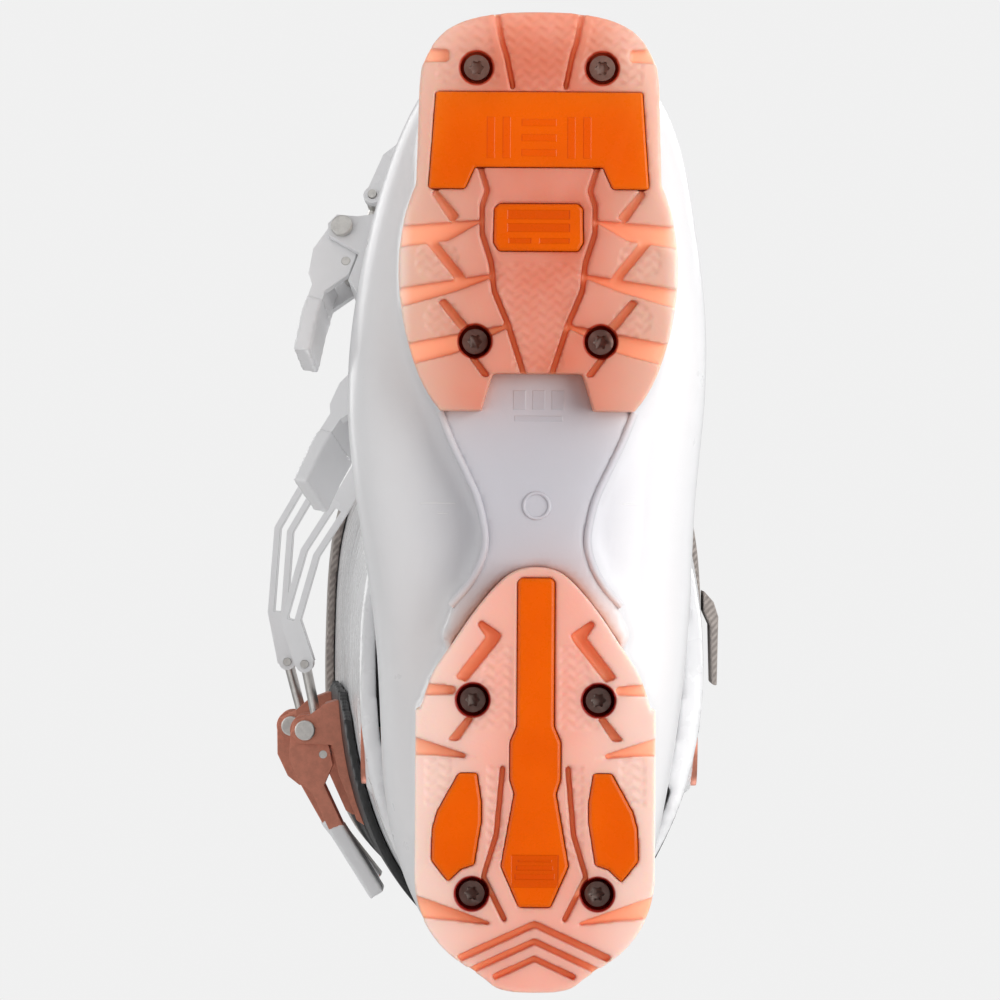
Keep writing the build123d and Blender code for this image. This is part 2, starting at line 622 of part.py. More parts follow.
for label, row in buckles.items():
    hinge, lever_way, outwards, lever_line, yoke_x, bail_line, rack_start, rack_way, seat, reach = row
    frame = facing(hinge, lever_way, outwards)
    shell_form = root_form if seat == "root" else overlay_outer
    rack_form = root_form if seat == "root" else cuff_outer
    yoke = (yoke_x, lever_eye[1])

    with BuildPart() as base:
        add(prism(base_outline(reach), -cheek_high, cheek_high, frame))
        cheek = base_outline(reach, cheek_hub)
        add(prism(cheek, cheek_low, cheek_high, frame))
        add(prism(cheek, -cheek_high, -cheek_low, frame))
        add(rod(frame, 0, 0, hinge_radius + 0.03, -bore_reach, bore_reach), mode=Mode.SUBTRACT)
        add(shell_form, mode=Mode.SUBTRACT)

    with BuildPart() as hinge_pin:
        for side in (-1, 1):
            head = cheek_high + 0.1
            add(rod(frame, 0, 0, hinge_radius, *sorted((side * (lever_wall_inside - 0.1), side * head))))
            add(rod(frame, 0, 0, hinge_head, *sorted((side * head, side * (head + 1.8)))))

    with BuildPart() as lever:
        add(prism(strip(lever_line, lever_plate), -lever_half, lever_half, frame))
        for low, high in ((lever_wall_inside, lever_half), (-lever_half, -lever_wall_inside)):
            add(rod(frame, 0, 0, hub_radius, low, high))
            add(prism(lever_wall, low, high, frame))
        add(rod(frame, 0, 0, hinge_radius + running_gap, -bore_reach, bore_reach), mode=Mode.SUBTRACT)
        add(rod(frame, *lever_eye, link_radius + 0.03, -bore_reach, bore_reach), mode=Mode.SUBTRACT)

    with BuildPart() as yoke_pin:
        add(rod(frame, *lever_eye, link_radius, -lever_half, lever_half))

    with BuildPart() as adjuster:
        eye_place = frame.from_local_coords(Vector(*lever_eye, 0))
        along_link = Plane(origin=eye_place, x_dir=frame.z_dir, z_dir=-frame.x_dir)
        add(rod(along_link, 0, 0, link_bar, 1.9, lever_eye[0] - yoke_x - 1.9))
        for spot in (lever_eye, yoke):
            add(rod(frame, *spot, eye_radius, -eye_half, eye_half))
        for spot in (lever_eye, yoke):
            add(rod(frame, *spot, link_radius + running_gap, -bore_reach, bore_reach), mode=Mode.SUBTRACT)

    with BuildPart() as bail_pin:
        add(rod(frame, *yoke, link_radius, -arm_half - 1, arm_half + 1))

    along_rack = Vector(*rack_way).normalized()
    off_rack = Vector(along_rack.Y, -along_rack.X)

    def on_rack(u, v):
        """A point u along the rack and v above the shell, in the buckle's plane."""
        spot = Vector(*rack_start) + along_rack * u + off_rack * v
        return (spot.X, spot.Y)

    bar = on_rack(*hooked_at)
    with BuildPart() as bail:
        path = [yoke] + bail_line + [bar]
        for low, high in ((arm_inside, arm_half), (-arm_half, -arm_inside)):
            add(prism(strip(path, arm_thick[seat]), low, high, frame))
            add(rod(frame, *yoke, eye_radius + 0.3, low, high))
        if len(bail_line) > 1:
            add(prism(strip(bail_line, arm_slot), -20, 20, frame), mode=Mode.SUBTRACT)
        add(rod(frame, *bar, bar_radius, -arm_half, arm_half))
        add(rod(frame, *yoke, link_radius + running_gap, -bore_reach, bore_reach), mode=Mode.SUBTRACT)

    with BuildPart() as rack:
        block = [on_rack(-4, -14), on_rack(-4, rack_height), on_rack(22, rack_height), on_rack(22, -14)]
        add(prism(block, -rack_half, rack_half, frame))
        for k in range(tooth_count):
            face = tooth_first + tooth_pitch * k
            tip = rack_height + tooth_height
            tooth = [
                on_rack(face, rack_height - 1), on_rack(face, tip), on_rack(face - 1, tip),
                on_rack(face - 4.4, rack_height - 1),
            ]
            add(prism(tooth, -rack_half + 0.8, rack_half - 0.8, frame))
        add(rack_form, mode=Mode.SUBTRACT)
    made = {
        "base": base, "hinge_pin": hinge_pin, "lever": lever, "yoke_pin": yoke_pin, "adjuster": adjuster,
        "bail_pin": bail_pin, "bail": bail, "rack": rack,
    }
    for piece_name, piece in made.items():
        buckle_pieces[f"{label}_buckle_{piece_name}"] = piece

pieces = {
    "toe_sole": toe_sole, "heel_sole": heel_sole, "toe_glide_plate": toe_glide_plate, "toe_badge": toe_badge,
    "heel_keel_insert": heel_keel_insert, "heel_wing_inserts": heel_wing_inserts,
    "toe_sole_screws": toe_sole_screws, "heel_sole_screws": heel_sole_screws,
    "sole_screw_bushes": sole_screw_bushes, "lower_shell": lower_shell, "cuff_shell": cuff_shell,
    "rear_overlay": rear_overlay, "power_strap": power_strap, "liner_foot": liner_foot,
    "liner_shaft": liner_shaft, "liner_tongue": liner_tongue, "boot_board": boot_board, "footbed": footbed,
    "ankle_pivot_outer": pivot_bolts["outer"], "ankle_pivot_inner": pivot_bolts["inner"],
    "overlay_screws": overlay_screws, "strap_end": strap_end, "pull_loop": pull_loop,
}
pieces.update(buckle_pieces)
for name, piece in pieces.items():
    piece.part.label = name
    export_step(piece.part, f"parts/{name}.step")
print(len(pieces), "nodes")
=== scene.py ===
import bpy
import bmesh
import json
import math
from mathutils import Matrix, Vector

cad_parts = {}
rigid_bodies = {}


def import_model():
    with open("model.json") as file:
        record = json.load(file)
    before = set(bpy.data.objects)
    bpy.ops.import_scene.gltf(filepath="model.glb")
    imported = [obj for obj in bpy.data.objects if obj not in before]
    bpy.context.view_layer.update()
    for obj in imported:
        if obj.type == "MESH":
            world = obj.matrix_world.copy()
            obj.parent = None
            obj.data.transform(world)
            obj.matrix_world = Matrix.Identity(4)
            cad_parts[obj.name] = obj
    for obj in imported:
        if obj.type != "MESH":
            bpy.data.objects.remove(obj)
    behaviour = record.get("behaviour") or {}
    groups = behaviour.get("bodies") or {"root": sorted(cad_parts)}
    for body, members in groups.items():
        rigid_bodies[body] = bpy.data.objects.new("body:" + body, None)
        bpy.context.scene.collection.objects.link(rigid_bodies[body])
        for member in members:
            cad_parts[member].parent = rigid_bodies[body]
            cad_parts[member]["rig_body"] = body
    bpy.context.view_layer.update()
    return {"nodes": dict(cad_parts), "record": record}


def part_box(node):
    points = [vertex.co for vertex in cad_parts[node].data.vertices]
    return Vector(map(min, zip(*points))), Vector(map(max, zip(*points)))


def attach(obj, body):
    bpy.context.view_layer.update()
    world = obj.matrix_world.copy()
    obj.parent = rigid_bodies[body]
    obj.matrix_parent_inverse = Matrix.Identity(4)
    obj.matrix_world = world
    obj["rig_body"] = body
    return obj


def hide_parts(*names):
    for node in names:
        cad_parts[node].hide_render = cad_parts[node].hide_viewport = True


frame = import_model()
mm = 0.001
nodes = frame["nodes"]
slotOf = {entry["node"]: entry["material_slot"] for entry in frame["record"]["subparts"]}
joints = {joint["name"]: joint for joint in frame["record"]["behaviour"]["joints"]}


def stage(text):
    print("stage:", text)


def addNode(tree, kind, settings=None, sockets=None, out=0):
    # any shader node: its settings first, then the values or links of its sockets
    made = tree.nodes.new(kind)
    for key, setting in (settings or {}).items():
        setattr(made, key, setting)
    for key, item in (sockets or {}).items():
        if isinstance(item, Value):
            tree.links.new(item.socket, made.inputs[key])
        elif item is not None:
            made.inputs[key].default_value = item
    return Value(tree, made.outputs[out])


class Value:
    # a socket that adds its own Math nodes when it is used in an expression
    def __init__(self, tree, socket):
        self.tree = tree
        self.socket = socket

    def maths(self, operation, other=None, swap=False):
        first, second = (other, self) if swap else (self, other)
        return addNode(self.tree, "ShaderNodeMath", {"operation": operation}, {0: first, 1: second})

    def __add__(self, other):
        return self.maths("ADD", other)

    def __radd__(self, other):
        return self.maths("ADD", other, True)

    def __sub__(self, other):
        return self.maths("SUBTRACT", other)

    def __rsub__(self, other):
        return self.maths("SUBTRACT", other, True)

    def __mul__(self, other):
        return self.maths("MULTIPLY", other)

    def __rmul__(self, other):
        return self.maths("MULTIPLY", other, True)

    def __truediv__(self, other):
        return self.maths("DIVIDE", other)

    def __rtruediv__(self, other):
        return self.maths("DIVIDE", other, True)

    def __neg__(self):
        return self.maths("MULTIPLY", -1.0)

    def __abs__(self):
        return self.maths("ABSOLUTE")

    def step(self, low, high):
        # 0 below low, 1 above high, smooth between them
        return addNode(self.tree, "ShaderNodeMapRange", {"interpolation_type": "SMOOTHSTEP"},
                       {"Value": self, "From Min": low, "From Max": high}, "Result")

    def inside(self, low, high, soft):
        # 1 between low and high, fading over soft
        return self.step(low - soft, low + soft) * (1.0 - self.step(high - soft, high + soft))


class Finish:
    # one material, its Principled shader and the helpers that fill it
    def __init__(self, name, **fixed):
        self.material = bpy.data.materials.new(name)
        self.material.use_nodes = True
        self.tree = self.material.node_tree
        self.shader = self.tree.nodes["Principled BSDF"]
        for socket, setting in fixed.items():
            self.shader.inputs[socket.replace("_", " ")].default_value = setting

    def node(self, kind, settings=None, sockets=None, out=0):
        return addNode(self.tree, kind, settings, sockets, out)

    def split(self, vector):
        # the three parts of a vector
        first = self.node("ShaderNodeSeparateXYZ", {}, {0: vector})
        return [Value(self.tree, part) for part in first.socket.node.outputs]

    def place(self):
        # the object's own coordinates, and x, y, z in millimetres
        spot = self.node("ShaderNodeTexCoord", out="Object")
        return spot, [part * 1000.0 for part in self.split(spot)]

    def noise(self, spot, scale, detail=3.0, roughness=0.55):
        return self.node("ShaderNodeTexNoise", {},
                         {"Vector": spot, "Scale": scale, "Detail": detail, "Roughness": roughness})

    def bars(self, x, y, boxes, soft=0.15):
        # 1 inside any of the boxes, each (centre x, centre y, width, height)
        total = None
        for centreX, centreY, width, height in boxes:
            box = x.inside(centreX - width / 2, centreX + width / 2, soft)
            box = box * y.inside(centreY - height / 2, centreY + height / 2, soft)
            total = box if total is None else total + box
        return total

    def mix(self, factor, first, second):
        first, second = [item if isinstance(item, Value) else (*item, 1.0) for item in (first, second)]
        return self.node("ShaderNodeMix", {"data_type": "RGBA"}, {0: factor, 6: first, 7: second}, 2)

    def bump(self, height, strength, distance):
        self.feed("Normal", self.node("ShaderNodeBump", {},
                                      {"Height": height, "Strength": strength, "Distance": distance}))

    def feed(self, socket, item):
        self.tree.links.new(item.socket, self.shader.inputs[socket])


# plain bars that stand where moulded marks are, in millimetres: centre x, centre y, width, height
marks = {
    "size": [(x, -29.6, 3.6, 5.6) for x in (-5.2, 0.4, 6.0)] + [(0.4, -24.2, 14.0, 1.5)],
    "centre": [(-29.0, 0.6, 10.5, 0.5), (28.5, 0.6, 6.0, 0.4), (-27.6, 3.6, 3.0, 0.4)],
    "badge": [(0, -83.2, 18.0, 2.6), (0, -79.4, 18.0, 2.4), (-5.4, -75.6, 6.4, 1.5), (4.6, -75.6, 8.6, 1.5)],
    "keel": [(0, 104.2, 9.6, 0.5), (0, 106.2, 10.4, 1.3), (0, 108.8, 11.4, 1.6)],
    "keelField": [(0, 107.2, 13.6, 9.4)],
    "glide": [(x, -105.6, 2.2, 12.0) for x in (-14.0, -9.4, 14.0, 9.4)]
             + [(0, y, 10.0, 2.0) for y in (-101.2, -105.6, -110.0)],
}

plastic = {"cloud": 14.0, "patch": (0.35, 0.75), "dark": 0.95, "fine": 1400.0, "scuff": 90.0,
           "uneven": 0.16, "scuffDepth": 0.4, "relief": 0.4 * mm}


def mouldedPlastic(name, colour, rough, coat=0.0, grain=0.06):
    f = Finish(name, Roughness=rough, Coat_Weight=coat, Coat_Roughness=0.15, IOR=1.5)
    spot, _ = f.place()
    cloud = f.noise(spot, plastic["cloud"], 2.0)
    darker = tuple(c * plastic["dark"] for c in colour)
    f.feed("Base Color", f.mix(cloud.step(*plastic["patch"]), darker, colour))
    fine = f.noise(spot, plastic["fine"], 2.0)
    scuff = f.noise(spot, plastic["scuff"], 4.0)
    f.feed("Roughness", (scuff - 0.5) * plastic["uneven"] + rough)
    f.bump(fine + scuff * plastic["scuffDepth"], grain, plastic["relief"])
    return f.material


# the waist's greyer colour is painted shade for the recessed waist between the soles
shellLook = {"colour": (0.86, 0.86, 0.87), "shade": (0.70, 0.70, 0.72), "recess": (0.68, 0.68, 0.72),
             "waistAlong": (-36.0, 26.0, 9.0), "waistUp": (9.0, 34.0), "waistAcross": (16.0, 46.0),
             "lightness": (0.88, 0.12),
             "sizeUp": (11.0, 13.0), "sizeColour": (0.42, 0.42, 0.46), "sizeTint": 0.16,
             "linesUp": (26.0, 30.0), "lineColour": (0.95, 0.95, 0.95), "lineTint": 0.6, "lineSoft": 0.12,
             "rough": 0.3, "uneven": 0.14, "waistRough": 0.12, "fine": 0.1, "scuff": 0.05,
             "sizeDepth": 1.3, "lineDepth": 0.8, "bump": 0.35, "relief": 0.6 * mm}


def shellPlastic(name, look):
    # the lower shell: a matt waist between the soles, painted greyer as painted shade where it lies
    # recessed, with moulded marks on it
    f = Finish(name, Coat_Weight=0.25, Coat_Roughness=0.15, IOR=1.5)
    spot, (x, y, z) = f.place()
    cloud = f.noise(spot, plastic["cloud"], 2.0)
    waist = y.inside(*look["waistAlong"]) * (1.0 - z.step(*look["waistUp"]))
    waist = waist * (1.0 - abs(x).step(*look["waistAcross"]))
    low, swing = look["lightness"]
    lightness = cloud.step(*plastic["patch"]) * swing + low
    size = f.bars(x, y, marks["size"]) * (1.0 - z.step(*look["sizeUp"]))
    lines = f.bars(x, y, marks["centre"], look["lineSoft"]) * (1.0 - z.step(*look["linesUp"]))
    plain = f.mix(lightness, look["shade"], look["colour"])
    # painted shade: the recessed waist is mixed towards its greyer colour in place of the shade it lies in
    shaded = f.mix(waist, plain, look["recess"])
    marked = f.mix(size * look["sizeTint"], shaded, look["sizeColour"])
    f.feed("Base Color", f.mix(lines * look["lineTint"], marked, look["lineColour"]))
    fine = f.noise(spot, plastic["fine"], 2.0)
    scuff = f.noise(spot, plastic["scuff"], 4.0)
    f.feed("Roughness", (scuff - 0.5) * look["uneven"] + waist * look["waistRough"] + look["rough"])
    grain = fine * look["fine"] + scuff * look["scuff"]
    f.bump(grain + size * look["sizeDepth"] + lines * look["lineDepth"], look["bump"], look["relief"])
    return f.material


rubber = {"rockerStart": -60.0, "rockerTwice": 1134.0, "grooveDepth": (0.3, 3.4), "cloud": 26.0,
          "patch": (0.3, 0.7), "grooveMiddle": (0.96, 0.33, 0.17), "grooveEdge": (0.97, 0.52, 0.36),
          "wall": (0.93, 0.85, 0.80), "wallTint": 0.55, "screwAcross": 18.25, "ringReach": (5.0, 5.5),
          # the glow colour is a painted glow, emission that brightens the groove floors
          "glow": (0.95, 0.30, 0.12), "facing": (0.6, 0.95), "fine": 900.0, "uneven": 0.12, "rough": 0.36,
          "bump": 0.12, "relief": 0.3 * mm}
toeRubber = {"middle": (9.0, 38.0), "pink": (0.80, 0.31, 0.20), "faded": (0.84, 0.44, 0.34),
             "rim": (0.85, 0.60, 0.50), "outside": (36.0, 40.0), "ring": (0.55, 0.06, 0.02),
             "screwRows": (-126.0, -46.4)}
heelRubber = {"middle": (8.0, 33.0), "pink": (0.95, 0.55, 0.46), "faded": (0.96, 0.62, 0.53),
              "rim": (0.97, 0.76, 0.69), "outside": (33.6, 35.4), "ring": (0.42, 0.02, 0.012),
              "screwRows": (57.6, 113.8)}


def frostedSole(name, look):
    # frosted rubber: pale at the rim, pinker in the middle, and a painted glow, emission on the thin groove
    # floors, in place of light shining through them
    f = Finish(name, Subsurface_Weight=0.35, Subsurface_Scale=6 * mm, IOR=1.46, Emission_Strength=0.16)
    spot, (x, y, z) = f.place()
    ahead = (rubber["rockerStart"] - y).maths("MAXIMUM", 0.0)
    depth = z - ahead * ahead / rubber["rockerTwice"]
    toRim = abs(x).step(*look["middle"])
    deep = depth.step(*rubber["grooveDepth"])
    cloud = f.noise(spot, rubber["cloud"], 3.0)
    pale = f.mix(cloud.step(*rubber["patch"]), look["faded"], look["pink"])
    face = f.mix(toRim, pale, look["rim"])
    groove = f.mix(toRim, rubber["grooveMiddle"], rubber["grooveEdge"])
    colour = f.mix(deep, face, groove)
    colour = f.mix(abs(x).step(*look["outside"]) * rubber["wallTint"], colour, rubber["wall"])
    across = abs(x) - rubber["screwAcross"]
    near = None
    for row in look["screwRows"]:
        along = y - row
        reach = (across * across + along * along).maths("SQRT")
        near = reach if near is None else near.maths("MINIMUM", reach)
    ring = 1.0 - near.step(*rubber["ringReach"])
    f.feed("Base Color", f.mix(ring, colour, look["ring"]))
    upwards = f.split(f.node("ShaderNodeTexCoord", out="Normal"))[2]
    # painted glow: emission on the groove floors that face down, kept off the screw rings
    glow = deep * (-upwards).step(*rubber["facing"]) * (1.0 - ring)
    f.feed("Emission Color", f.mix(glow, (0.0, 0.0, 0.0), rubber["glow"]))
    fine = f.noise(spot, rubber["fine"], 2.0)
    f.feed("Roughness", fine * rubber["uneven"] + rubber["rough"])
    f.bump(fine, rubber["bump"], rubber["relief"])
    return f.material


orange = {"dark": (0.88, 0.19, 0.001), "bright": (0.93, 0.22, 0.001), "cloud": 30.0, "patch": (0.3, 0.7),
          "scratch": 260.0, "scratchDepth": 0.05, "sunkColour": (0.72, 0.11, 0.002), "sunkTint": 0.5,
          "raisedColour": (0.84, 0.13, 0.002), "raisedTint": 0.35, "raisedSoft": 0.12, "raisedDepth": 0.8,
          "uneven": 0.16, "rough": 0.2, "bump": 0.5, "relief": 0.5 * mm}


def glossyInsert(name, sunk=(), raised=()):
    f = Finish(name, Coat_Weight=0.25, Coat_Roughness=0.1, IOR=1.45)
    spot, (x, y, z) = f.place()
    cloud = f.noise(spot, orange["cloud"], 2.0)
    colour = f.mix(cloud.step(*orange["patch"]), orange["dark"], orange["bright"])
    scratch = f.noise(spot, orange["scratch"], 5.0, 0.7)
    height = scratch * orange["scratchDepth"]
    if sunk:
        hollow = f.bars(x, y, sunk)
        colour = f.mix(hollow * orange["sunkTint"], colour, orange["sunkColour"])
        height = height - hollow
    if raised:
        standing = f.bars(x, y, raised, orange["raisedSoft"])
        colour = f.mix(standing * orange["raisedTint"], colour, orange["raisedColour"])
        height = height + standing * orange["raisedDepth"]
    f.feed("Base Color", colour)
    f.feed("Roughness", scratch * orange["uneven"] + orange["rough"])
    f.bump(height, orange["bump"], orange["relief"])
    return f.material


metalLook = {"brushed": 400.0, "patch": (0.3, 0.7), "dark": 0.82, "uneven": 0.18, "bump": 0.1,
             "relief": 0.2 * mm}


def metal(name, colour, rough):
    f = Finish(name, Metallic=1.0)
    spot, _ = f.place()
    streak = f.noise(spot, metalLook["brushed"], 4.0, 0.7)
    darker = tuple(c * metalLook["dark"] for c in colour)
    f.feed("Base Color", f.mix(streak.step(*metalLook["patch"]), darker, colour))
    f.feed("Roughness", streak * metalLook["uneven"] + rough)
    f.bump(streak, metalLook["bump"], metalLook["relief"])
    return f.material


weaveLook = {"ribs": 3.9, "picks": 2.6, "fuzz": 300.0, "patch": (0.2, 0.9), "dark": 0.6, "tint": 0.35,
             "depth": 0.5, "bump": 0.5, "relief": 0.5 * mm}


def webbing(name, colour):
    f = Finish(name, Roughness=0.85, Sheen_Weight=0.25, Sheen_Roughness=0.5)
    spot, (x, y, z) = f.place()
    weave = (z * weaveLook["ribs"]).maths("SINE") * ((x + y) * weaveLook["picks"]).maths("SINE")
    fuzz = f.noise(spot, weaveLook["fuzz"], 3.0)
    darker = tuple(c * weaveLook["dark"] for c in colour)
    f.feed("Base Color", f.mix((weave * weaveLook["tint"] + fuzz).step(*weaveLook["patch"]), darker, colour))
    f.bump(weave * weaveLook["depth"] + fuzz, weaveLook["bump"], weaveLook["relief"])
    return f.material


clothLook = {"knit": 3.1, "fuzz": 700.0, "patch": (0.25, 0.85), "dark": 0.55, "tint": 0.25, "depth": 0.4,
             "bump": 0.45, "relief": 0.6 * mm}


def linerCloth(name, colour):
    f = Finish(name, Roughness=0.9, Sheen_Weight=0.35, Sheen_Roughness=0.6)
    spot, parts = f.place()
    x, y, z = [part * clothLook["knit"] for part in parts]
    knit = x.maths("SINE") * z.maths("SINE") + y.maths("SINE") * z.maths("COSINE")
    fuzz = f.noise(spot, clothLook["fuzz"], 3.0)
    darker = tuple(c * clothLook["dark"] for c in colour)
    f.feed("Base Color", f.mix((knit * clothLook["tint"] + fuzz).step(*clothLook["patch"]), darker, colour))
    f.bump(knit * clothLook["depth"] + fuzz, clothLook["bump"], clothLook["relief"])
    return f.material


stage("finishes")
finishes = {
    "shell_white": shellPlastic("shellWhite", shellLook),
    "cuff_white": mouldedPlastic("cuffWhite", (0.86, 0.86, 0.87), 0.27, 0.3),
    "insert_orange": glossyInsert("insertOrange"),
    "toe_glide_plate": glossyInsert("glidePlateOrange", raised=marks["glide"]),
    "toe_badge": glossyInsert("badgeOrange", sunk=marks["badge"]),
    "heel_keel_insert": glossyInsert("keelOrange", marks["keelField"], marks["keel"]),
    "steel_screw": metal("screwSteel", (0.34, 0.28, 0.25), 0.3),
    "rose_metal": metal("roseMetal", (0.66, 0.27, 0.19), 0.38),
    "base_white": mouldedPlastic("baseWhite", (0.80, 0.80, 0.81), 0.3, 0.2),
    "overlay_black": mouldedPlastic("overlayBlack", (0.012, 0.012, 0.013), 0.5, 0.0, 0.12),
    "strap_webbing": webbing("strapWebbing", (0.42, 0.37, 0.34)),
    "liner_fabric": linerCloth("linerCloth", (0.10, 0.10, 0.105)),
    "board_grey": mouldedPlastic("boardGrey", (0.3, 0.3, 0.31), 0.6),
    "footbed_felt": linerCloth("footbedFelt", (0.32, 0.29, 0.27)),
    "lever_white": mouldedPlastic("leverWhite", (0.86, 0.86, 0.87), 0.24, 0.5, 0.03),
    "bail_white": mouldedPlastic("bailWhite", (0.84, 0.84, 0.85), 0.25, 0.5, 0.03),
    "pin_steel": metal("pinSteel", (0.72, 0.70, 0.67), 0.22),
    "toe_sole": frostedSole("toeSoleRubber", toeRubber),
    "heel_sole": frostedSole("heelSoleRubber", heelRubber),
}


def finishOf(node):
    return finishes.get(node) or finishes[slotOf[node]]


meshWork = {"weld": 0.02 * mm, "flatTurn": math.radians(1.5), "sharpTurn": math.radians(40),
            "bevelTurn": math.radians(32), "flatArea": 12 * mm * mm}


def linked(name, mesh):
    piece = bpy.data.objects.new(name, mesh)
    bpy.context.scene.collection.objects.link(piece)
    return piece


def copyOf(node, name):
    # a CAD piece's mesh with its corners welded, in a new object
    mesh = nodes[node].data.copy()
    mesh.name = name
    piece = linked(name, mesh)
    if "custom_normal" in mesh.attributes:
        mesh.attributes.remove(mesh.attributes["custom_normal"])
    work = bmesh.new()
    work.from_mesh(mesh)
    bmesh.ops.remove_doubles(work, verts=work.verts, dist=meshWork["weld"])
    work.to_mesh(mesh)
    work.free()
    return piece


def settledMesh(piece):
    # the piece's mesh as its modifiers or its curve settings leave it
    bpy.context.view_layer.update()
    graph = bpy.context.evaluated_depsgraph_get()
    return bpy.data.meshes.new_from_object(piece.evaluated_get(graph))


def applied(piece):
    mesh = settledMesh(piece)
    piece.modifiers.clear()
    piece.data = mesh


def remeshed(piece, voxel, passes):
    grid = piece.modifiers.new("grid", "REMESH")
    grid.mode = "VOXEL"
    grid.voxel_size = voxel
    soft = piece.modifiers.new("soft", "SMOOTH")
    soft.factor = 0.5
    soft.iterations = passes
    applied(piece)


def dressed(piece, material, body):
    # one material, smooth faces and the body that it rides on
    piece.data.materials.clear()
    piece.data.materials.append(material)
    for face in piece.data.polygons:
        face.use_smooth = True
    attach(piece, body)
    return piece


def finished(piece, node):
    dressed(piece, finishOf(node), nodes[node]["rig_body"])
    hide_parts(node)
    return piece


def bevelled(node, width, segments):
    # a CAD piece with its flat faces joined up and its edges broken
    piece = copyOf(node, node + "_edged")
    work = bmesh.new()
    work.from_mesh(piece.data)
    bmesh.ops.dissolve_limit(work, angle_limit=meshWork["flatTurn"], verts=work.verts, edges=work.edges)
    work.to_mesh(piece.data)
    work.free()
    rounding = piece.modifiers.new("rounding", "BEVEL")
    rounding.width = width
    rounding.segments = segments
    rounding.limit_method = "ANGLE"
    rounding.angle_limit = meshWork["bevelTurn"]
    rounding.harden_normals = False
    applied(piece)
    finished(piece, node)
    piece.data.set_sharp_from_angle(angle=meshWork["sharpTurn"])
    for face in piece.data.polygons:
        face.use_smooth = face.area < meshWork["flatArea"]


def moulded(node, voxel, passes, ending="_moulded"):
    piece = copyOf(node, node + ending)
    remeshed(piece, voxel, passes)
    return finished(piece, node)


sole = {"voxel": 0.6 * mm, "passes": 2, "ribPitch": 3.2 * mm, "ribPeriod": 4.7 * mm, "ribSwing": 1.6 * mm,
        "ribHeight": 0.45 * mm, "down": -0.6, "skin": 0.9 * mm,
        "rockerStart": -60 * mm, "rockerTwice": 1134 * mm}
ribFields = {
    # in millimetres, mirrored about the middle: lines across, half widths with their flare, boxes and discs
    "tip": {"behind": -118.5, "half": 7.5, "flare": 0.22},
    "waist": {"from": -69, "to": -38, "half": 7.2, "flareFrom": -52, "flare": 0.42},
    "discs": [(29.5, -70, 6.0), (27.5, -53, math.sqrt(28))],
    "toeLobe": {"behind": -121, "inner": 11.5, "outer": 30, "flare": 0.2},
    "beside": {"from": 42, "to": 66, "inner": 7.5, "outer": 8.8, "flareFrom": 30, "flare": 0.34},
    "boxes": [(9.5, 14, 77, 104), (24.5, 32, 74.5, 88)],
}


def ribs(x, y):
    # herringbone ribs: 0 in the furrows, 1 on the ribs
    swing = abs((x / sole["ribPeriod"]) % 1.0 - 0.5) * 2.0 * sole["ribSwing"]
    return 0.5 + 0.5 * math.cos(2 * math.pi * (y + swing) / sole["ribPitch"])


def onRibs(x, y):
    # whether a spot on the walking face carries the fine ribs
    x, y = abs(x) / mm, y / mm
    tip, waist, lobe, beside = [ribFields[key] for key in ("tip", "waist", "toeLobe", "beside")]
    if y < tip["behind"] and x < tip["half"] + (tip["behind"] - y) * tip["flare"]:
        return True
    flare = max(0, waist["flareFrom"] - y) * waist["flare"]
    if waist["from"] < y < waist["to"] and x < waist["half"] + flare:
        return True
    if y < lobe["behind"] and lobe["inner"] + (lobe["behind"] - y) * lobe["flare"] < x < lobe["outer"]:
        return True
    flare = (y - beside["flareFrom"]) * beside["flare"]
    if beside["from"] < y < beside["to"] and beside["inner"] < x < beside["outer"] + flare:
        return True
    if any(math.hypot(x - discX, y - discY) < radius for discX, discY, radius in ribFields["discs"]):
        return True
    return any(inner < x < outer and front < y < back for inner, outer, front, back in ribFields["boxes"])


def makeSole(node):
    piece = copyOf(node, node + "_moulded")
    remeshed(piece, sole["voxel"], sole["passes"])
    for vertex in piece.data.vertices:
        x, y, z = vertex.co
        ahead = max(0.0, sole["rockerStart"] - y)
        depth = z - ahead * ahead / sole["rockerTwice"]
        if vertex.normal.z <= sole["down"] and depth <= sole["skin"] and onRibs(x, y):
            vertex.co.z += (1 - ribs(x, y)) * sole["ribHeight"]
    finished(piece, node)


stage("soles")
makeSole("toe_sole")
makeSole("heel_sole")
for node in ("toe_glide_plate", "toe_badge", "heel_keel_insert", "heel_wing_inserts"):
    bevelled(node, 0.7 * mm, 3)

stage("shells")
moulded("lower_shell", 1.9 * mm, 3)
moulded("cuff_shell", 1.6 * mm, 4)
moulded("rear_overlay", 1.0 * mm, 3)

waist = {
    "radius": 1.15 * mm, "height": 9.3 * mm,
    "ridge": [(28.4, -26), (24.8, -17), (21, -9), (17.4, -1), (15.6, 6), (15.0, 12), (16, 17), (19.5, 24),
              (25.0, 30.5)],
    "ring": Vector((0, 1.2, 8.9)) * mm, "ringRadius": 3.7 * mm, "ringBead": 0.55 * mm, "ringPoints": 12,
}


def bead(name, spots, radius, closed=False):
    # a raised bead along a line of points
    curve = bpy.data.curves.new(name, "CURVE")
    curve.dimensions = "3D"
    curve.bevel_depth = radius
    curve.bevel_resolution = 4
    line = curve.splines.new("BEZIER")
    line.bezier_points.add(len(spots) - 1)
    line.use_cyclic_u = closed
    for point, spot in zip(line.bezier_points, spots):
        point.co = spot
        point.handle_left_type = "AUTO"
        point.handle_right_type = "AUTO"
    route = linked(name, curve)
    mesh = settledMesh(route)
    bpy.data.objects.remove(route)
    dressed(linked(name, mesh), finishes["shell_white"], "lower_boot")


